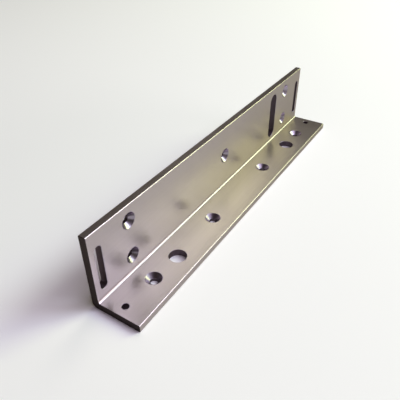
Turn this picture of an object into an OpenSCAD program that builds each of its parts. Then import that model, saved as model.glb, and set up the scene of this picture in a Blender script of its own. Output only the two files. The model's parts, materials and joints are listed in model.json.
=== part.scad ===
// Bracket for a magnetic door lock: one saw-cut length of extruded angle bar, drilled and slotted.
// It stands on its short leg, with the tall leg upright along the back.
// The origin is on the underside, at the middle of the length and of the depth.
// +X runs along the bar, +Y points to the back of the tall leg, and +Z is up.

/* [Angle bar] */
// Length between the two saw cuts
bar_length = 250; // [220:1:400]
// Height of the tall leg, from the underside
tall_leg = 48; // [44:0.5:70]
// Depth of the short leg, from its front edge to the back of the tall leg
short_leg = 31; // [28:0.5:40]
// Thickness of both legs
wall = 4.5; // [3.5:0.1:6]
// Radius of the heel, the outer corner between the legs
heel_radius = 3; // [0.5:0.1:3.5]
// Radius of the fillet at the root, in the inner corner
root_radius = 1.5; // [0.5:0.1:3]
// Radius of the eased long edges at the tips of the legs
tip_radius = 0.5; // [0.2:0.1:1.5]

/* [Countersunk screw holes] */
// Diameter of the bore that the screw's shank passes
screw_bore = 4.5; // [3.5:0.1:6]
// Diameter of the countersink at the face
screw_head = 9.5; // [7:0.1:10]
// Included angle of the countersink
countersink_angle = 90; // [82:1:100]

/* [Screws of the tall leg] */
// Distance of each end pair from its end of the bar
lock_screw_inset = 29; // [20:0.5:31]
// Height of the lower screws above the short leg's top face
lock_screw_above_root = 10.5; // [9:0.1:12]
// Distance of the upper screws below the tall leg's top
lock_screw_below_top = 9.5; // [7:0.1:11]
// Height of the single middle screw above the short leg's top face
middle_screw_above_root = 22.8; // [12:0.1:30]
// Distance of the middle screw from the middle of the bar, towards its +X end
middle_screw_offset = 1.4; // [-10:0.1:10]

/* [Slots of the tall leg] */
// Width of the narrow slot at each end
end_slot_width = 4.8; // [4:0.1:6]
// Distance of each narrow slot's middle from its end of the bar
end_slot_inset = 6; // [5:0.1:10]
// Height of the narrow slots' low end above the short leg's top face
end_slot_above_root = 6.4; // [4:0.1:10]
// Distance of the narrow slots' high end below the tall leg's top
end_slot_below_top = 9.3; // [4:0.1:12]
// Width of the one wide slot
wide_slot_width = 10; // [6:0.1:12]
// Distance of the wide slot's middle from the +X end of the bar
wide_slot_inset = 50; // [44:0.5:60]
// Height of the wide slot's low end above the short leg's top face
wide_slot_above_root = 3.3; // [3:0.1:8]
// Distance of the wide slot's high end below the tall leg's top
wide_slot_below_top = 5.2; // [3:0.1:10]

/* [Holes of the short leg] */
// Distance of the outer countersunk screws from the ends of the bar
frame_screw_inset = 29; // [20:0.5:31]
// Distance between the two inner countersunk screws
inner_screw_pitch = 70; // [40:1:80]
// Distance of the screws' row from the front edge
frame_screw_row = 13.5; // [9:0.1:15]
// Diameter of the two cable holes
cable_hole = 10.5; // [8:0.1:12]
// Distance of the cable holes from the ends of the bar
cable_hole_inset = 50; // [44:0.5:55]
// Distance of the cable holes' row from the front edge
cable_hole_row = 12.5; // [9:0.1:13]
// Diameter of the two pilot holes
pilot_hole = 4; // [2.5:0.1:5]
// Distance of the pilot holes from the ends of the bar
pilot_hole_inset = 6; // [5:0.1:12]
// Distance of the pilot holes' row from the front edge
pilot_hole_row = 13.8; // [8:0.1:16]

/* [Hidden] */
$fn = 96;

// How far each cutter passes the face that it leaves by
run_out = 1;
// Places that the cuts are measured from
end_x = bar_length / 2;
front_y = -short_leg / 2;
back_y = short_leg / 2;
inner_y = back_y - wall;
// The countersink's depth, and its slope as radius over depth
countersink_slope = tan(countersink_angle / 2);
countersink_depth = (screw_head - screw_bore) / 2 / countersink_slope;

// What lies between a square corner at the origin and the arc that rounds it.
// Taken from a convex corner it rounds it, and added in a concave one it is a fillet.
module corner_sliver(radius) {
  difference() {
    translate([-run_out, -run_out]) square(radius + run_out);
    translate([radius, radius]) circle(radius);
  }
}

// The extruded section, with Y across and Z up
module section() {
  difference() {
    union() {
      translate([front_y, 0]) square([short_leg, wall]);
      translate([inner_y, 0]) square([wall, tall_leg]);
      translate([inner_y, wall]) rotate(90) corner_sliver(root_radius);
    }
    translate([back_y, 0]) rotate(90) corner_sliver(heel_radius);
    translate([front_y, 0]) corner_sliver(tip_radius);
    translate([front_y, wall]) rotate(270) corner_sliver(tip_radius);
    translate([inner_y, tall_leg]) rotate(270) corner_sliver(tip_radius);
    translate([back_y, tall_leg]) rotate(180) corner_sliver(tip_radius);
  }
}

// The bare bar, before drilling
module bar() {
  translate([-end_x, 0, 0]) rotate([90, 0, 90]) linear_extrude(bar_length) section();
}

// Cutter for a round hole down from a face at z = 0, right through the wall
module plain_cutter(diameter) {
  translate([0, 0, -wall - run_out]) cylinder(d = diameter, h = wall + 2 * run_out);
}

// Cutter for a countersunk hole, with the countersink's mouth on the face at z = 0
module screw_cutter() {
  mouth = screw_bore + 2 * countersink_slope * (countersink_depth + run_out);
  plain_cutter(screw_bore);
  translate([0, 0, -countersink_depth])
    cylinder(d1 = screw_bore, d2 = mouth, h = countersink_depth + run_out);
}

// Cutter for an upright slot with round ends, through the tall leg
module slot_cutter(width, above_root, below_top) {
  low_z = wall + above_root + width / 2;
  high_z = tall_leg - below_top - width / 2;
  depth = wall + 2 * run_out;
  for (z = [low_z, high_z])
    translate([0, back_y + run_out, z]) rotate([90, 0, 0]) cylinder(d = width, h = depth);
  translate([-width / 2, inner_y - run_out, low_z]) cube([width, depth, high_z - low_z]);
}

// Puts a cutter on the tall leg's inner face, with its mouth towards the front
module on_tall_leg(x, z) {
  translate([x, inner_y, z]) rotate([90, 0, 0]) children();
}

// Puts a cutter on the short leg's top face, with its mouth up
module on_short_leg(x, row) {
  translate([x, front_y + row, wall]) children();
}

module tall_leg_cuts() {
  low_z = wall + lock_screw_above_root;
  high_z = tall_leg - lock_screw_below_top;
  for (side = [-1, 1]) {
    for (z = [low_z, high_z])
      on_tall_leg(side * (end_x - lock_screw_inset), z) screw_cutter();
    translate([side * (end_x - end_slot_inset), 0, 0])
      slot_cutter(end_slot_width, end_slot_above_root, end_slot_below_top);
  }
  on_tall_leg(middle_screw_offset, wall + middle_screw_above_root) screw_cutter();
  translate([end_x - wide_slot_inset, 0, 0])
    slot_cutter(wide_slot_width, wide_slot_above_root, wide_slot_below_top);
}

module short_leg_cuts() {
  for (side = [-1, 1]) {
    on_short_leg(side * (end_x - frame_screw_inset), frame_screw_row) screw_cutter();
    on_short_leg(side * inner_screw_pitch / 2, frame_screw_row) screw_cutter();
    on_short_leg(side * (end_x - cable_hole_inset), cable_hole_row) plain_cutter(cable_hole);
    on_short_leg(side * (end_x - pilot_hole_inset), pilot_hole_row) plain_cutter(pilot_hole);
  }
}

module bracket() {
  color([0.72, 0.70, 0.69]) difference() {
    bar();
    tall_leg_cuts();
    short_leg_cuts();
  }
}

bracket();
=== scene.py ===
# %% [markdown]
# # A bracket for a magnetic door lock
# The real object is one piece of metal: a length of extruded aluminium angle, sawn square, drilled,
# countersunk and slotted, and then satin anodised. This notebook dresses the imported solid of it.
# The first cell loads that solid as a fixed frame. Everything else takes its place from there.

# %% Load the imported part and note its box
import json
import math
from collections import namedtuple

import bpy
import numpy as np
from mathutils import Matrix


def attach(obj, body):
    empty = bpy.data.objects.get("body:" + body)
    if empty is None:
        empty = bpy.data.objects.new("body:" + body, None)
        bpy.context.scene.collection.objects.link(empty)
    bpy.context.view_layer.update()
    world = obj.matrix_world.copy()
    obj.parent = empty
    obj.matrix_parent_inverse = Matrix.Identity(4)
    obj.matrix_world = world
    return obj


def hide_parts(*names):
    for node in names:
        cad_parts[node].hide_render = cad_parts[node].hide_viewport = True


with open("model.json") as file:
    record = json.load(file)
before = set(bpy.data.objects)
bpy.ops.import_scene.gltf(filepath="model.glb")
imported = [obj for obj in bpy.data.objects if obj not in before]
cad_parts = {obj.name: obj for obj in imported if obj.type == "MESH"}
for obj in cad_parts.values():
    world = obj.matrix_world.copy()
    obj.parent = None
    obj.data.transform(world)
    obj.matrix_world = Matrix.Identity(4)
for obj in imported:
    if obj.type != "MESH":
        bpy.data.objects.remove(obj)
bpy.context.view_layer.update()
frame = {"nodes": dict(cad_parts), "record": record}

MM = 0.001

# %% [markdown]
# ## Sizes
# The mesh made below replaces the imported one, so it has to have the same holes in the same places.
# Their places and diameters come from the mounts in the part's record, and the slots are measured on
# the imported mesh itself. Only what neither of them says is written here, in millimetres: how round the
# edges are, and how wide the countersinks are at the face.

# %% Read the holes from the record, and measure the section
HEEL_RADIUS = 3.0
ROOT_RADIUS = 1.5
TIP_RADIUS = 0.5
COUNTERSINK_MOUTH = 9.5

mounts = {mount["name"]: mount for mount in frame["record"]["mounts"]}


def place(name):
    """A mount's place in millimetres."""
    return np.array(mounts[name]["pos_m"]) / MM


def size(name, key):
    """One of a mount's own sizes, which are in millimetres."""
    return mounts[name]["dims"][key]


def packed_points():
    """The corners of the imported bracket's mesh in millimetres, to a tenth, as the part is drawn."""
    mesh = frame["nodes"]["bracket"].data
    flat = np.empty(len(mesh.vertices) * 3, np.float32)
    mesh.vertices.foreach_get("co", flat)
    return (flat.reshape(-1, 3).astype(float) / MM).round(1)


packed = packed_points()
_, front, bottom = packed.min(0)
right, back, top = packed.max(0)
shelf = packed[packed[:, 1] < front + 2 * TIP_RADIUS, 2].max()
wall = shelf - bottom
inner = back - wall
print(f"section {back - front:.2f} x {top - bottom:.2f} mm, wall {wall:.2f} mm")

# %% [markdown]
# The slots run right through the tall leg, so what is left of them on the leg's inner face is the
# outline of each. The corners found there, in a stretch of the length that holds nothing else, give
# the slot's width and its two ends.

# %% Measure the slots on the inner face
CLEARANCE = 1.0


def slot_between(low_x, high_x):
    """The middle, width, low end and high end of the slot that lies between two places along X."""
    on_face = np.isclose(packed[:, 1], inner)
    within = (packed[:, 0] > low_x) & (packed[:, 0] < high_x)
    above_root = packed[:, 2] > shelf + ROOT_RADIUS + CLEARANCE
    below_tip = packed[:, 2] < top - TIP_RADIUS - CLEARANCE
    rim = packed[on_face & within & above_root & below_tip]
    low, high = rim.min(0), rim.max(0)
    return (low[0] + high[0]) / 2, high[0] - low[0], low[2], high[2]


screw_x = size("lock_screws", "spacing_x_mm") / 2
screw_z = place("lock_screws")[2] + np.array([-0.5, 0.5]) * size("lock_screws", "spacing_y_mm")
inner_screw_x = size("frame_screws_inner", "spacing_x_mm") / 2
pilot_x = size("pilot_holes", "spacing_x_mm") / 2
cable_x = place("cable_hole_right")[0]
half_mouth = COUNTERSINK_MOUTH / 2

end_slot = slot_between(screw_x + half_mouth + CLEARANCE, right - CLEARANCE)
wide_slot = slot_between(inner_screw_x + half_mouth + CLEARANCE, screw_x - half_mouth - CLEARANCE)
print("end slot:", np.round(end_slot, 2), " wide slot:", np.round(wide_slot, 2))

# %% [markdown]
# ## The section as a loop
# An extrusion has the same section all along, so the section is described once, as a loop of straight
# runs and arcs. A real extrusion has no sharp corner: the heel is well rounded, the root has a fillet,
# and the tips are eased, which is what draws the thin bright lines along them. Each station on the
# loop also has the direction that the surface faces there, from the same formula. A Bevel modifier
# could round the edges too, but its shading would only come near to what the formula gives exactly.

# %% Write the runs and arcs of the section
# The widest space between the lines across a leg, and between those round a hole, in millimetres
LINE_GAP = 0.83
HEEL_STEPS, ROOT_STEPS, TIP_STEPS = 16, 12, 8


def lines(low, high):
    """Equally spaced values from low to high, at most LINE_GAP apart but for a rounding error."""
    return np.linspace(low, high, max(1, math.ceil((high - low) / LINE_GAP - 1e-6)) + 1)


def flat_run(y, z, facing):
    """A straight run: its stations' Y and Z, one of them the same all along, and the way that it faces."""
    y, z = np.broadcast_arrays(np.asarray(y, float), np.asarray(z, float))
    stations = np.stack([y, z], 1)
    return stations, np.broadcast_to(np.asarray(facing, float), stations.shape)


def arc_run(centre, radius, start, stop, steps, hollow=False):
    """An arc from angle start to stop: centre + radius (cos, sin). It faces out, or in if it is hollow."""
    angle = np.radians(np.linspace(start, stop, steps + 1))
    ray = np.stack([np.cos(angle), np.sin(angle)], 1)
    return np.asarray(centre) + radius * ray, -ray if hollow else ray


def tip_run(y, z, start):
    """The eased edge at a tip of a leg: a quarter turn from the angle start, about a centre."""
    return arc_run((y, z), TIP_RADIUS, start, start + 90, TIP_STEPS)


row_lines = lines(front + TIP_RADIUS, inner - ROOT_RADIUS)
rise_lines = lines(shelf + ROOT_RADIUS, top - TIP_RADIUS)
heel_centre = (back - HEEL_RADIUS, bottom + HEEL_RADIUS)
root_centre = (inner - ROOT_RADIUS, shelf + ROOT_RADIUS)
runs = {
    "underside": flat_run(np.append(row_lines, back - HEEL_RADIUS), bottom, (0, -1)),
    "heel": arc_run(heel_centre, HEEL_RADIUS, -90, 0, HEEL_STEPS),
    "back_face": flat_run(back, np.insert(rise_lines, 0, bottom + HEEL_RADIUS), (1, 0)),
    "back_tip": tip_run(back - TIP_RADIUS, top - TIP_RADIUS, 0),
    "top_edge": flat_run([back - TIP_RADIUS, inner + TIP_RADIUS], top, (0, 1)),
    "inner_tip": tip_run(inner + TIP_RADIUS, top - TIP_RADIUS, 90),
    "inner_face": flat_run(inner, rise_lines[::-1], (-1, 0)),
    "root": arc_run(root_centre, ROOT_RADIUS, 0, -90, ROOT_STEPS, hollow=True),
    "shelf_face": flat_run(row_lines[::-1], shelf, (0, 1)),
    "shelf_tip": tip_run(front + TIP_RADIUS, shelf - TIP_RADIUS, 90),
    "front_edge": flat_run(front, [shelf - TIP_RADIUS, bottom + TIP_RADIUS], (-1, 0)),
    "low_tip": tip_run(front + TIP_RADIUS, bottom + TIP_RADIUS, 180),
}
print("stations round the section:", sum(len(stations) - 1 for stations, _ in runs.values()))

# %% [markdown]
# ## Patches
# Every surface here is a grid of points from a function of two parameters, with a facing for each
# point. A patch keeps both, the quads between them and the finish that it belongs to. It also keeps
# two traits of each point that the finishes read later: how far down a tool's path it lies, and how
# much handling has rubbed it. Patches share their border points, so one welding closes the solid.

# %% Gather patches
# The finishes' places in the mesh's list of materials
FACE, TURNED, BORED, SAWN = 0, 1, 2, 3

Patch = namedtuple("Patch", "points facings traits quads finishes")
patches = []


def grid_quads(rows, columns):
    """The four corners' indices of each cell in a grid of points."""
    first = np.arange(rows - 1)[:, None] * columns + np.arange(columns - 1)
    return np.stack([first, first + columns, first + columns + 1, first + 1], 2)


def add_patch(points, facings, finish, keep=True, tool_path=0.0, rubbed=0.0):
    """Gathers a grid of points. keep says which of its cells are there. keep and finish may differ by
    cell, and the two traits by point."""
    rows, columns = points.shape[:2]
    quads = grid_quads(rows, columns)
    wanted = np.broadcast_to(keep, quads.shape[:2])
    finishes = np.broadcast_to(finish, quads.shape[:2])
    traits = np.stack([np.broadcast_to(trait, (rows, columns)) for trait in (tool_path, rubbed)], -1)
    by_point = (grid.reshape(-1, grid.shape[-1]) for grid in (points, facings, traits))
    patches.append(Patch(*by_point, quads[wanted], finishes[wanted]))


print("cells of a grid of 3 by 4 points:", grid_quads(3, 4).shape[:2])

# %% [markdown]
# The section is carried along the bar on lines of one X each. They are close together only round the
# holes, because a long quad on a flat face is as flat as many short ones. Each column of lines has its
# hole in its middle, so that every rim is divided evenly.

# %% Carry the section along the bar
# Half the length of bar that has lines of its own for a kind of hole, in millimetres
SCREW_COLUMN, CABLE_COLUMN, SLOT_COLUMN = 6.0, 6.5, 4.0
# The radius of the rounding round the sawn ends, in millimetres
END_BREAK = 0.2


def column(centre, half_width):
    """Lines along X across one column of holes."""
    return centre + np.linspace(-1, 1, 2 * math.ceil(half_width / LINE_GAP) + 1) * half_width


right_columns = [
    (inner_screw_x, SCREW_COLUMN),
    (cable_x, CABLE_COLUMN),
    (screw_x, SCREW_COLUMN),
    (pilot_x, SLOT_COLUMN),
]
right_lines = np.concatenate([column(*c) for c in right_columns] + [[right - END_BREAK]])
middle_lines = column(place("middle_screw")[0], SCREW_COLUMN)
bar_lines = np.concatenate([-right_lines[::-1], middle_lines, right_lines])


def carried(stations, facings):
    """A run carried along the bar: point (x, station) is (x, Y, Z), and it faces as its station does."""
    x = np.broadcast_to(bar_lines[:, None, None], (len(bar_lines), len(stations), 1))
    sideways = np.zeros_like(x)
    spread = (len(bar_lines), *stations.shape)
    return (
        np.concatenate([x, np.broadcast_to(stations, spread)], 2),
        np.concatenate([sideways, np.broadcast_to(facings, spread)], 2),
    )


PIERCED = ("underside", "back_face", "inner_face", "shelf_face")
for name, run in runs.items():
    if name not in PIERCED:
        add_patch(*carried(*run), FACE, rubbed=float(name.endswith("tip")))
print("lines along the bar:", len(bar_lines), " whole strips:", len(patches))

# %% [markdown]
# ## Holes
# A drill, a countersink and a milling cutter all leave a surface that goes round an axis, or round a
# short line for a slot. So one function makes all of them. It takes the side view of the hole, as
# pairs of radius and depth, eases its corners, and carries it round. Each point of the block's border
# looks for the nearest point of the hole's middle line, and that sets the way in which it moves.

# %% Ease the corners of a hole's side view
# The radius of the rounding at a hole's corners, in millimetres
RIM_BREAK = 0.15
RIM_STEPS = 4


def eased(corners):
    """Points and facings down a path whose corners are rounded, and which points are on an arc. An arc
    leaves its stretch radius times tan(turn / 2) before the corner, and its facing swings evenly over."""
    corners = np.asarray(corners, float)
    along = np.diff(corners, axis=0)
    along /= np.linalg.norm(along, axis=1)[:, None]
    facing = np.stack([-along[:, 1], along[:, 0]], 1)
    points, facings = [corners[:1]], [facing[:1]]
    share = np.linspace(0, 1, RIM_STEPS + 1)[:, None]
    for corner, before, n0, n1 in zip(corners[1:-1], along, facing, facing[1:]):
        turn = math.acos(float(np.clip(n0 @ n1, -1, 1)))
        swing = (np.sin((1 - share) * turn) * n0 + np.sin(share * turn) * n1) / math.sin(turn)
        start = corner - before * RIM_BREAK * math.tan(turn / 2)
        points.append(start - n0 * RIM_BREAK + swing * RIM_BREAK)
        facings.append(swing)
    points.append(corners[-1:])
    facings.append(facing[-1:])
    on_arc = np.concatenate([np.full(len(part), len(part) > 1) for part in points])
    return np.concatenate(points), np.concatenate(facings), on_arc


def drilled(radius):
    """The side view of a plain hole, from one face to the other."""
    outside = radius + 2 * RIM_BREAK
    return eased([(outside, 0), (radius, 0), (radius, wall), (outside, wall)])


def countersunk(radius):
    """The side view of a countersunk hole. At 90 degrees the cone is as deep as it is wide."""
    cone = half_mouth - radius
    corners = [(half_mouth + 2 * RIM_BREAK, 0), (half_mouth, 0), (radius, cone), (radius, wall)]
    return eased([*corners, (radius + 2 * RIM_BREAK, wall)])


print("points down a countersunk hole:", len(countersunk(size("middle_screw", "r_mm"))[0]))

# %% [markdown]
# The block is the smallest set of grid cells that holds the hole and a margin. Its cells are taken out
# of both faces of the leg, and the hole's own patch fills the place: flat from the block's border to
# the rim, down the wall of the hole, and flat again to the same border on the other face.

# %% Let a hole into both faces of a leg
# The least width of flat metal between a hole and its block's border, in millimetres
MARGIN = 0.6
RING_STEPS = 3


def block_of(u_lines, v_lines, u, v_low, v_high, reach):
    """The first and last line, each way, of the cells that hold a hole and its margin."""
    first_u = np.searchsorted(u_lines, u - reach, side="right") - 1
    last_u = np.searchsorted(u_lines, u + reach, side="left")
    first_v = np.searchsorted(v_lines, v_low - reach, side="right") - 1
    last_v = np.searchsorted(v_lines, v_high + reach, side="left")
    return first_u, last_u, first_v, last_v


def border_of(u_lines, v_lines, block):
    """The points of the block's border, once round and back to the first."""
    first_u, last_u, first_v, last_v = block
    u = np.concatenate([
        np.arange(first_u, last_u), np.full(last_v - first_v, last_u),
        np.arange(last_u, first_u, -1), np.full(last_v - first_v + 1, first_u),
    ])
    v = np.concatenate([
        np.full(last_u - first_u, first_v), np.arange(first_v, last_v),
        np.full(last_u - first_u, last_v), np.arange(last_v, first_v - 1, -1),
    ])
    return np.stack([u_lines[u], v_lines[v]], 1)


def pierce(leg, u, v_low, v_high, side_view):
    """Lets one hole into a leg. Its middle line runs from v_low to v_high. A point at radius r and
    depth d is the nearest point of that line, plus r times the way out from it, at depth d."""
    # The way out from the middle line to each point of the border
    path, path_facing, on_arc = side_view
    reach = path[:, 0].max() - 2 * RIM_BREAK + MARGIN
    block = block_of(bar_lines, leg["lines"], u, v_low, v_high, reach)
    border = border_of(bar_lines, leg["lines"], block)
    middle = np.stack([np.full(len(border), u), np.clip(border[:, 1], v_low, v_high)], 1)
    way = border - middle
    way /= np.linalg.norm(way, axis=1)[:, None]

    # Rings from the border in to the rim, down the wall, and out to the border on the other face
    share = np.linspace(0, 1, RING_STEPS + 1)[:-1, None, None]
    first_rim, last_rim = middle + way * path[0, 0], middle + way * path[-1, 0]
    mouth_ring = border * (1 - share) + first_rim * share
    walls = middle + way * path[:, :1, None]
    back_ring = (border * (1 - share) + last_rim * share)[::-1]
    flat = np.concatenate([mouth_ring, walls, back_ring])

    ring = np.zeros(RING_STEPS)
    depth = np.concatenate([ring, path[:, 1], ring + wall])
    out_facing = np.concatenate([ring, path_facing[:, 0], ring])
    down_facing = np.concatenate([ring - 1, path_facing[:, 1], ring + 1])
    flat_facing = out_facing[:, None, None] * way

    # A stretch that faces straight in at the axis was bored, and every other one was turned.
    straight = np.isclose(path_facing[:, 0], -1)
    finish = np.where(straight[:-1] & straight[1:], BORED, TURNED)
    finish = np.pad(finish, RING_STEPS, constant_values=FACE)[:, None]
    travelled = np.append(0, np.cumsum(np.linalg.norm(np.diff(path, axis=0), axis=1)))
    add_patch(
        leg["lay"](flat[..., 0], flat[..., 1], depth[:, None] + 0 * flat[..., 0]),
        leg["turn"](flat_facing[..., 0], flat_facing[..., 1], down_facing[:, None] + 0 * flat[..., 0]),
        finish,
        tool_path=np.concatenate([ring, travelled, ring])[:, None],
        rubbed=np.concatenate([ring, on_arc, ring])[:, None],
    )
    leg["solid"][block[0]:block[1], block[2]:block[3]] = False


print("rings of quads round a hole on each face:", RING_STEPS)

# %% [markdown]
# The two legs differ only in which way their depth runs. On the tall leg a hole goes back from the
# inner face along Y, and on the short leg it goes down from the shelf along Z.

# %% Drill the two legs
def leg_of(leg_lines, lay, turn):
    """A leg before drilling: its lines, how a place on it is laid in space, and its cells."""
    solid = np.ones((len(bar_lines) - 1, len(leg_lines) - 1), bool)
    return {"lines": leg_lines, "lay": lay, "turn": turn, "solid": solid}


tall = leg_of(
    rise_lines,
    lambda u, v, depth: np.stack([u, inner + depth, v], -1),
    lambda u, v, down: np.stack([u, down, v], -1),
)
short = leg_of(
    row_lines,
    lambda u, v, depth: np.stack([u, v, shelf - depth], -1),
    lambda u, v, down: np.stack([u, v, -down], -1),
)


def cut_slot(x, width, low, high):
    """A slot is a hole whose middle line is as long as the slot, less its width."""
    pierce(tall, x, low + width / 2, high - width / 2, drilled(width / 2))


lock_screw = countersunk(size("lock_screws", "hole_r_mm"))
frame_screw = countersunk(size("frame_screws_outer", "hole_r_mm"))
short_leg_holes = [
    (screw_x, "frame_screws_outer", frame_screw),
    (inner_screw_x, "frame_screws_inner", frame_screw),
    (cable_x, "cable_hole_right", drilled(size("cable_hole_right", "r_mm"))),
    (pilot_x, "pilot_holes", drilled(size("pilot_holes", "hole_r_mm"))),
]
for side in (-1, 1):
    for z in screw_z:
        pierce(tall, side * screw_x, z, z, lock_screw)
    cut_slot(side * end_slot[0], *end_slot[1:])
    for x, name, side_view in short_leg_holes:
        row = place(name)[1]
        pierce(short, side * x, row, row, side_view)
cut_slot(*wide_slot)
middle_x, _, middle_z = place("middle_screw")
pierce(tall, middle_x, middle_z, middle_z, lock_screw)
print("cells taken out: tall leg", (~tall["solid"]).sum(), " short leg", (~short["solid"]).sum())

# %% [markdown]
# Four faces are pierced, the two of each leg. They are carried along the bar like the others, less the
# cells that the holes took. Two of the runs go against their leg's lines, so their cells are turned
# round. The other two reach past the leg to the heel, by a strip that no hole comes near.

# %% Lay the four pierced faces
at_heel = np.ones((len(bar_lines) - 1, 1), bool)
cells_left = {
    "inner_face": tall["solid"][:, ::-1],
    "back_face": np.hstack([at_heel, tall["solid"]]),
    "shelf_face": short["solid"][:, ::-1],
    "underside": np.hstack([short["solid"], at_heel]),
}
for name, cells in cells_left.items():
    add_patch(*carried(*runs[name]), FACE, keep=cells)
print("cells left on the four:", sum(int(cells.sum()) for cells in cells_left.values()))

# %% [markdown]
# ## The sawn ends
# The bar is sawn square and deburred, so each end face meets the sides over a tiny rounding, and it is
# the rounding that catches the light. It is the whole section, moved in against its own facings as it
# nears the end. What is left inside is flat: rungs across each leg, and three plates at the corners.

# %% Close the ends
BREAK_STEPS = 4
loop = np.concatenate([stations[:-1] for stations, _ in runs.values()])
loop_facing = np.concatenate([facings[:-1] for _, facings in runs.values()])
loop, loop_facing = np.append(loop, loop[:1], 0), np.append(loop_facing, loop_facing[:1], 0)
plates = []


def end_break(side):
    """At angle a the section is END_BREAK (1 - cos a) further in, and END_BREAK (1 - sin a) from the end."""
    angle = np.radians(np.linspace(0, 90, BREAK_STEPS + 1))[:, None]
    inset = END_BREAK * (1 - np.cos(angle))
    shape = (BREAK_STEPS + 1, len(loop))
    x = np.broadcast_to(side * (right - END_BREAK * (1 - np.sin(angle))), shape)
    points = loop - loop_facing * inset[..., None]
    facings = loop_facing * np.cos(angle)[..., None]
    end_facing = np.broadcast_to(side * np.sin(angle), shape)
    return np.dstack([x, points]), np.dstack([end_facing, facings])


def inset_run(name):
    """A run's stations on the end face, inside the rounding."""
    stations, facings = runs[name]
    return stations - facings * END_BREAK


def at_end(side, stations):
    """Stations of the end face as points in space."""
    return np.concatenate([np.full((*stations.shape[:-1], 1), side * right), stations], -1)


def close_end(side):
    """Rungs between the two faces of each leg, and plates at the heel and the two tips."""
    out = np.array([side, 0.0, 0.0])
    inner_side, back_side = inset_run("inner_face")[::-1], inset_run("back_face")
    shelf_side, under_side = inset_run("shelf_face")[::-1], inset_run("underside")
    for one, other in ((inner_side, back_side[1:]), (shelf_side, under_side[:-1])):
        rungs = at_end(side, np.stack([one, other], 1))
        add_patch(rungs, np.broadcast_to(out, rungs.shape), SAWN)
    heel = [under_side[-2:-1], inset_run("heel"), back_side[1:2], inset_run("root")]
    tall_tip = [inset_run("back_tip"), inset_run("inner_tip")]
    short_tip = [inset_run("shelf_tip"), inset_run("low_tip")]
    for outline in (heel, tall_tip, short_tip):
        plates.append((at_end(side, np.concatenate(outline)), out))


for side in (-1, 1):
    add_patch(*end_break(side), SAWN, rubbed=1.0)
    close_end(side)
print("patches:", len(patches), " plates:", len(plates))

# %% [markdown]
# ## One closed solid
# Patches that meet have the same points on their border, so points that agree to a ten-thousandth of
# a millimetre are one corner. A grid may run round either way, so each face is then turned to look the
# way that its corners face.

# %% Weld the patches
WELD_DECIMALS = 4


def welded():
    """Corners without doubles, their facings and traits, the quads and the end plates."""
    grids = [patch[:3] for patch in patches]
    grids += [(ring, np.broadcast_to(out, ring.shape), np.zeros((len(ring), 2))) for ring, out in plates]
    points, facings, traits = (np.concatenate(part) for part in zip(*grids))
    starts = np.cumsum([0] + [len(grid[0]) for grid in grids])
    quads = np.concatenate([patch.quads + start for patch, start in zip(patches, starts)])
    plate_starts = starts[len(patches):]
    rings = [np.arange(start, start + len(ring)) for (ring, _), start in zip(plates, plate_starts)]

    rounded = points.round(WELD_DECIMALS)
    _, first, same = np.unique(rounded, axis=0, return_index=True, return_inverse=True)
    same = same.reshape(-1)
    print("facings at doubles differ by at most", np.abs(facings - facings[first][same]).max().round(4))
    most = np.zeros((len(first), 2))
    np.maximum.at(most, same, traits)

    in_faces = np.concatenate([same[quads].reshape(-1)] + [same[ring] for ring in rings])
    used, renumbered = np.unique(in_faces, return_inverse=True)
    quads, rest = renumbered[:quads.size].reshape(-1, 4), renumbered[quads.size:]
    rings = np.split(rest, np.cumsum([len(ring) for ring in rings])[:-1])
    return points[first][used], facings[first][used], most[used], quads, rings


def outward(corners, facings, quads, rings):
    """The same faces, each going round so that it looks the way that its corners face."""
    a, b, c, d = np.moveaxis(corners[quads], 1, 0)
    wrong = np.einsum("ij,ij->i", np.cross(c - a, d - b), facings[quads].sum(1)) < 0
    turned = np.where(wrong[:, None], quads[:, ::-1], quads)
    looks = [np.cross(corners[r], corners[np.roll(r, -1)]).sum(0) @ facings[r].sum(0) for r in rings]
    return turned, [r if look > 0 else r[::-1] for r, look in zip(rings, looks)]


corners, facings, traits, quads, rings = welded()
quads, rings = outward(corners, facings, quads, rings)
finishes = np.concatenate([patch.finishes for patch in patches] + [[SAWN] * len(plates)])
print("corners:", len(corners), " quads:", len(quads))

# %% [markdown]
# The facing of a corner is known from the formulas, and it is given to the mesh as its normal. So the
# light runs over a rounding as it would on the real edge, and a flat face stays quite flat, however
# few quads there are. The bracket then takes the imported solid's place on the only body there is.

# %% Hand the bracket to Blender
mesh = bpy.data.meshes.new("angle_bar")
mesh.from_pydata((corners * MM).tolist(), [], quads.tolist() + [ring.tolist() for ring in rings])
mesh.polygons.foreach_set("material_index", finishes.astype(np.int32))
mesh.shade_smooth()
mesh.normals_split_custom_set_from_vertices(facings)
for name, values in zip(("tool_path", "rubbed"), traits.T):
    mesh.attributes.new(name, "FLOAT", "POINT").data.foreach_set("value", values.astype(np.float32))
angle_bar = bpy.data.objects.new("angle_bar", mesh)
bpy.context.scene.collection.objects.link(angle_bar)
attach(angle_bar, "root")
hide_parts("bracket")
print("faces:", len(mesh.polygons))

# %% [markdown]
# ## Finishes
# The metal is satin anodised aluminium. It was etched matt and then given a thin, clear, hard film, so
# it shines softly: it shows the lamps as broad patches and not as a picture. How each surface was
# worked before that bath still shows. Pressing through the die left faint lines along the bar, the
# countersink left a cleaner cone, drills and cutters left dull walls, and the saw left dull ends.
#
# Each finish has two colours. Seen from straight above, the metal is grey with a little lilac in it.
# Seen on a slant it is darker and leans to olive: the light has a longer way through the film, and the
# small pits of the etch shade one another. The shader's specular tint holds that second colour. Only a
# cleanly turned cone is smooth enough to keep its first colour on a slant.

# %% Colour and node helpers
SLANT_OLIVE = "#a29d7e"


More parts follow.
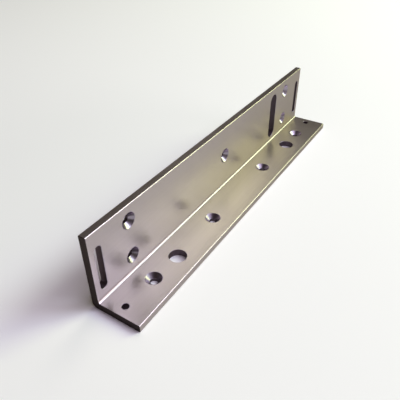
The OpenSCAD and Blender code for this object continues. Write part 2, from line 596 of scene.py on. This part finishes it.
def linear(hex_colour):
    """An sRGB hex colour as linear red, green, blue and an alpha of 1. The sRGB curve is a straight
    line up to 0.04045, and above that a power of 2.4."""
    values = np.array([int(hex_colour[i:i + 2], 16) for i in (1, 3, 5)]) / 255
    straight = np.where(values <= 0.04045, values / 12.92, ((values + 0.055) / 1.055) ** 2.4)
    return (*straight.tolist(), 1.0)


def add(tree, kind, links=None, values=None, **settings):
    """Adds a node of a kind, with its settings, the values of its inputs, and links into its inputs."""
    node = tree.nodes.new(kind)
    for name, value in settings.items():
        setattr(node, name, value)
    for name, value in (values or {}).items():
        node.inputs[name].default_value = value
    for name, source in (links or {}).items():
        tree.links.new(source, node.inputs[name])
    return node


def metal(name, colour, slant_colour, roughness):
    """A metal on the bar: its colour seen from straight above and on a slant, and its roughness. It gives
    the tree, the shader and the place in millimetres."""
    material = bpy.data.materials.new(name)
    material.use_nodes = True
    mesh.materials.append(material)
    tree = material.node_tree
    shader = tree.nodes["Principled BSDF"]
    shader.inputs["Metallic"].default_value = 1.0
    shader.inputs["Base Color"].default_value = linear(colour)
    shader.inputs["Specular Tint"].default_value = linear(slant_colour)
    shader.inputs["Roughness"].default_value = roughness
    spot = add(tree, "ShaderNodeTexCoord").outputs["Object"]
    in_mm = add(tree, "ShaderNodeVectorMath", {0: spot}, {"Scale": 1 / MM}, operation="SCALE")
    return tree, shader, in_mm.outputs["Vector"]


print("mid grey in linear light:", round(linear("#808080")[0], 3))

# %% [markdown]
# ### The extruded faces
# Die lines never change along the bar, so their noise hardly moves with X. Real ones are about 0.2 mm
# apart, and here they are drawn at 1 mm so that they show. The finest of them only show in how they
# spread a reflection: further across the lines than along them. That is anisotropy, with a tangent
# that runs round the bar. The etch leaves an even finer grain in all directions, which is drawn at
# 0.5 mm for the same reason, and the bath works unevenly over a few centimetres. Hands and packing
# polish the edges, so the rubbed trait makes them a little lighter and smoother.

# %% Finish the extruded faces
# The sizes of the three patterns and the height of their bumps, in millimetres
DIE_LINES, ETCH_GRAIN, BATH_CLOUDS = 1.0, 0.5, 25.0
BUMP_HEIGHT = 0.02
# How much of a step along the bar the die lines' noise sees
ALONG = 0.004

tree, shader, spot = metal("satin_anodised_aluminium_extruded", "#a49c9e", SLANT_OLIVE, 0.36)
across = add(tree, "ShaderNodeVectorMath", {0: spot}, {1: (ALONG, 1.0, 1.0)}, operation="MULTIPLY")
die_lines = add(
    tree, "ShaderNodeTexNoise", {"Vector": across.outputs[0]}, {"Scale": 1 / DIE_LINES, "Detail": 3.0},
)
grain = add(tree, "ShaderNodeTexNoise", {"Vector": spot}, {"Scale": 1 / ETCH_GRAIN, "Detail": 1.0})
clouds = add(tree, "ShaderNodeTexNoise", {"Vector": spot}, {"Scale": 1 / BATH_CLOUDS, "Detail": 2.0})
rubbed = add(tree, "ShaderNodeAttribute", attribute_name="rubbed")

uneven = add(
    tree, "ShaderNodeMapRange", {"Value": clouds.outputs[0]},
    {"From Min": 0.3, "From Max": 0.7, "To Min": 0.34, "To Max": 0.38},
)
lined = add(
    tree, "ShaderNodeMath", {0: die_lines.outputs[0], 2: uneven.outputs[0]}, {1: 0.02},
    operation="MULTIPLY_ADD",
)
polished = add(
    tree, "ShaderNodeMath", {0: rubbed.outputs["Fac"], 2: lined.outputs[0]}, {1: -0.04},
    operation="MULTIPLY_ADD",
)
tree.links.new(polished.outputs[0], shader.inputs["Roughness"])
round_the_bar = add(tree, "ShaderNodeTangent", direction_type="RADIAL", axis="X")
tree.links.new(round_the_bar.outputs["Tangent"], shader.inputs["Tangent"])
shader.inputs["Anisotropic"].default_value = 0.3

faint = add(tree, "ShaderNodeMath", {0: die_lines.outputs[0]}, {1: 0.25}, operation="MULTIPLY")
shade = add(
    tree, "ShaderNodeMath", {0: rubbed.outputs["Fac"], 2: faint.outputs[0]}, {1: 0.2},
    operation="MULTIPLY_ADD",
)
# Inputs 6 and 7 of a Mix node are its two colours, and output 2 is what they make.
tint = add(
    tree, "ShaderNodeMix", {0: shade.outputs[0]}, {6: linear("#a39b9d"), 7: linear("#bdb3b8")},
    data_type="RGBA",
)
tree.links.new(tint.outputs[2], shader.inputs["Base Color"])

height = add(
    tree, "ShaderNodeMath", {0: grain.outputs[0], 2: die_lines.outputs[0]}, {1: 0.3},
    operation="MULTIPLY_ADD",
)
bump = add(
    tree, "ShaderNodeBump", {"Height": height.outputs[0]}, {"Strength": 1.0, "Distance": BUMP_HEIGHT * MM},
)
tree.links.new(bump.outputs[0], shader.inputs["Normal"])
print("nodes on the faces:", len(tree.nodes))

# %% [markdown]
# ### The countersunk cones
# A countersink turns, so it leaves rings round the hole, closer than a camera can see. They are drawn
# 0.5 mm apart down the tool's path. A sharp countersink cuts the cone clean, so it is smoother than
# the faces. Its colour is painted a little darker than the faces, as painted shade. The cone flashes white
# where it meets a lamp, and the rest of it looks nearly black.

# %% Finish the cones
def rings_on(tree, shader, spacing, depth):
    """Ridges round a hole: the sine of the way down the tool's path, as bump. The spacing and the depth
    are in millimetres."""
    path = add(tree, "ShaderNodeAttribute", attribute_name="tool_path")
    phase = add(
        tree, "ShaderNodeMath", {0: path.outputs["Fac"]}, {1: 2 * math.pi / spacing},
        operation="MULTIPLY",
    )
    ridge = add(tree, "ShaderNodeMath", {0: phase.outputs[0]}, operation="SINE")
    bump = add(
        tree, "ShaderNodeBump", {"Height": ridge.outputs[0]}, {"Strength": 1.0, "Distance": depth * MM},
    )
    tree.links.new(bump.outputs[0], shader.inputs["Normal"])


# The cone's colour, a little darker than the faces', is painted shade.
tree, shader, _ = metal("satin_anodised_aluminium_countersunk_painted_shade", "#968e99", "#968e99", 0.3)
rings_on(tree, shader, spacing=0.5, depth=0.002)
print("nodes on the cones:", len(tree.nodes))

# %% [markdown]
# ### The walls of holes and slots
# A drill and a milling cutter tear the metal more than the die presses it, and the bath etches a torn wall
# dull. The walls' colour is a dark grey that is painted shade, so the insides of holes and slots look dark
# even where light falls on them. Feed marks run round the wall about 0.2 mm apart, and here they are drawn
# at 0.9 mm so that they show.

# %% Finish the walls
# The dark grey colour here is painted shade inside the holes and slots.
tree, shader, _ = metal("satin_anodised_aluminium_bored_painted_shade", "#675d62", SLANT_OLIVE, 0.5)
rings_on(tree, shader, spacing=0.9, depth=0.006)
print("nodes on the walls:", len(tree.nodes))

# %% [markdown]
# ### The sawn ends
# The teeth of a large round blade leave arcs across the end, and the blade's centre was well below and
# in front of the bar. Teeth marks of about 0.3 mm are drawn 0.9 mm apart. Between them the metal is
# torn, so the ends are nearly as dull as the walls. Their near-black colour is painted shade, which makes
# them the darkest surface on the piece.

# %% Finish the ends
# The spacing of the teeth's arcs, the size of the tears, the place of the blade's centre in front of
# and below the bar, and the depth of the marks, all in millimetres
TOOTH_MARKS, TEARS = 0.9, 0.8
BLADE_CENTRE = (0.0, -110.0, -70.0)
MARK_DEPTH = 0.012

# The near-black colour of the ends is painted shade.
tree, shader, spot = metal("satin_anodised_aluminium_sawn_painted_shade", "#4a4446", SLANT_OLIVE, 0.48)
on_end = add(tree, "ShaderNodeVectorMath", {0: spot}, {1: (0.0, 1.0, 1.0)}, operation="MULTIPLY")
from_blade = add(
    tree, "ShaderNodeVectorMath", {0: on_end.outputs[0]}, {1: BLADE_CENTRE}, operation="DISTANCE",
)
phase = add(
    tree, "ShaderNodeMath", {0: from_blade.outputs["Value"]}, {1: 2 * math.pi / TOOTH_MARKS},
    operation="MULTIPLY",
)
arc = add(tree, "ShaderNodeMath", {0: phase.outputs[0]}, operation="SINE")
tear = add(tree, "ShaderNodeTexNoise", {"Vector": spot}, {"Scale": 1 / TEARS, "Detail": 3.0})
height = add(tree, "ShaderNodeMath", {0: tear.outputs[0], 1: arc.outputs[0]}, operation="MULTIPLY")
bump = add(
    tree, "ShaderNodeBump", {"Height": height.outputs[0]}, {"Strength": 1.0, "Distance": MARK_DEPTH * MM},
)
tree.links.new(bump.outputs[0], shader.inputs["Normal"])
print("finishes:", [material.name for material in mesh.materials])

# %% [markdown]
# ## Camera
# The known sizes of the bar were set against where its corners and holes show up in the photograph,
# and that gave the camera's place, its lens and the way it looks. Two angles say where it looks: the
# heading from X towards Y, and the dip below the horizon. A third says how little it leans.

# %% Place the camera
# The camera's place in millimetres, and its three angles, which are given in degrees
CAMERA_AT = (-224.4, -114.8, 181.4)
HEADING, DIP, LEAN = (math.radians(angle) for angle in (32.85, 36.49, -0.49))

camera_data = bpy.data.cameras.new("camera")
camera_data.sensor_width = 36.0
camera_data.lens = 40.5
camera_data.clip_start = 0.01
camera = bpy.data.objects.new("camera", camera_data)
bpy.context.scene.collection.objects.link(camera)
bpy.context.scene.camera = camera

ahead = np.array([math.cos(DIP) * math.cos(HEADING), math.cos(DIP) * math.sin(HEADING), -math.sin(DIP)])
level = np.array([math.sin(HEADING), -math.cos(HEADING), 0.0])
aside = level * math.cos(LEAN) + np.cross(level, ahead) * math.sin(LEAN)
upward = np.cross(aside, ahead)
view = np.eye(4)
view[:3] = np.stack([aside, upward, -ahead, np.array(CAMERA_AT) * MM], 1)
# Blender fills a matrix column by column.
camera.matrix_world = view.T.tolist()
print("camera looks along", np.round(ahead, 3))

# %% [markdown]
# ## Floor
# The bracket lies on a matt white table that is much larger than it, so that the table is all that
# the camera sees behind it. Metal shows what is round it, and the table is half of that: a glossy one
# would show up in the tall leg as a second set of lamps.

# %% Lay the table
REACH = 4.0
table_corners = [(-REACH, -REACH, 0), (REACH, -REACH, 0), (REACH, REACH, 0), (-REACH, REACH, 0)]
table_mesh = bpy.data.meshes.new("table")
table_mesh.from_pydata(table_corners, [], [(0, 1, 2, 3)])
table = bpy.data.objects.new("table", table_mesh)
bpy.context.scene.collection.objects.link(table)

paint = bpy.data.materials.new("matt_white_table_paint")
paint.use_nodes = True
paint.node_tree.nodes["Principled BSDF"].inputs["Base Color"].default_value = linear("#f2f2f2")
paint.node_tree.nodes["Principled BSDF"].inputs["Roughness"].default_value = 0.9
table_mesh.materials.append(paint)
print("table:", 2 * REACH, "m across")

# %% [markdown]
# ## Light
# Each lamp is placed for its reflection. To the camera, the near half of the bar mirrors what stands
# 45 degrees up to the front right, and there are the key lamp and a broad, slightly lilac one high
# above it. The far half mirrors lower places further right, and the far lamp there is a little green.
# A low lamp reaches under the key lamp, so that the tall leg's foot shines, and one to the right
# lights the table for all. Their colours add up to nearly white on the table. Behind the bracket and
# to its left stands no lamp: the top edge mirrors a dim room, and the near end faces away from every
# lamp, so both look nearly black.

# %% Hang the lamps
LAMP_DISTANCE = 2.5


def oval_lamp(name, azimuth, elevation, wide, high, brightness, colour):
    """An oval lamp that looks at the bracket from an azimuth (from X towards Y) and an elevation. From the
    bracket it reaches wide degrees to each side and high degrees up and down. P watts from A square
    metres have a brightness of P / (pi A)."""
    data = bpy.data.lights.new(name, "AREA")
    data.shape = "ELLIPSE"
    half_high, half_wide = (LAMP_DISTANCE * math.tan(math.radians(angle)) for angle in (high, wide))
    data.size, data.size_y = 2 * half_high, 2 * half_wide
    data.energy = brightness * math.pi * math.pi * half_high * half_wide
    data.color = linear(colour)[:3]
    lamp = bpy.data.objects.new(name, data)
    azimuth, elevation = math.radians(azimuth), math.radians(elevation)
    level_part = math.cos(elevation)
    away = (level_part * math.cos(azimuth), level_part * math.sin(azimuth), math.sin(elevation))
    lamp.location = [LAMP_DISTANCE * part for part in away]
    lamp.rotation_euler = (0, math.pi / 2 - elevation, azimuth)
    lamp.visible_camera = False
    bpy.context.scene.collection.objects.link(lamp)
    return data.energy


# After its name: azimuth and elevation, wide and high, brightness, colour
watts = [
    oval_lamp("key_lamp", -50.7, 45.4, 11.3, 12.1, 10.1, "#e2efff"),
    oval_lamp("low_lamp", -73.9, 9.0, 18.6, 7.9, 7.9, "#fff2f4"),
    oval_lamp("side_lamp", 14.3, 53.0, 7.9, 11.3, 4.4, "#fffae6"),
    oval_lamp("far_lamp", -31.0, 29.9, 11.3, 15.9, 9.7, "#eeffbf"),
    oval_lamp("high_lamp", -75.0, 66.0, 20.9, 22.1, 3.3, "#f3e7ff"),
]
room = bpy.data.worlds.new("dark_room")
room.use_nodes = True
bpy.context.scene.world = room
room.node_tree.nodes["Background"].inputs["Color"].default_value = linear("#3c3027")
bpy.context.scene.view_settings.view_transform = "Standard"
print("lamps in watts:", np.round(watts, 1))
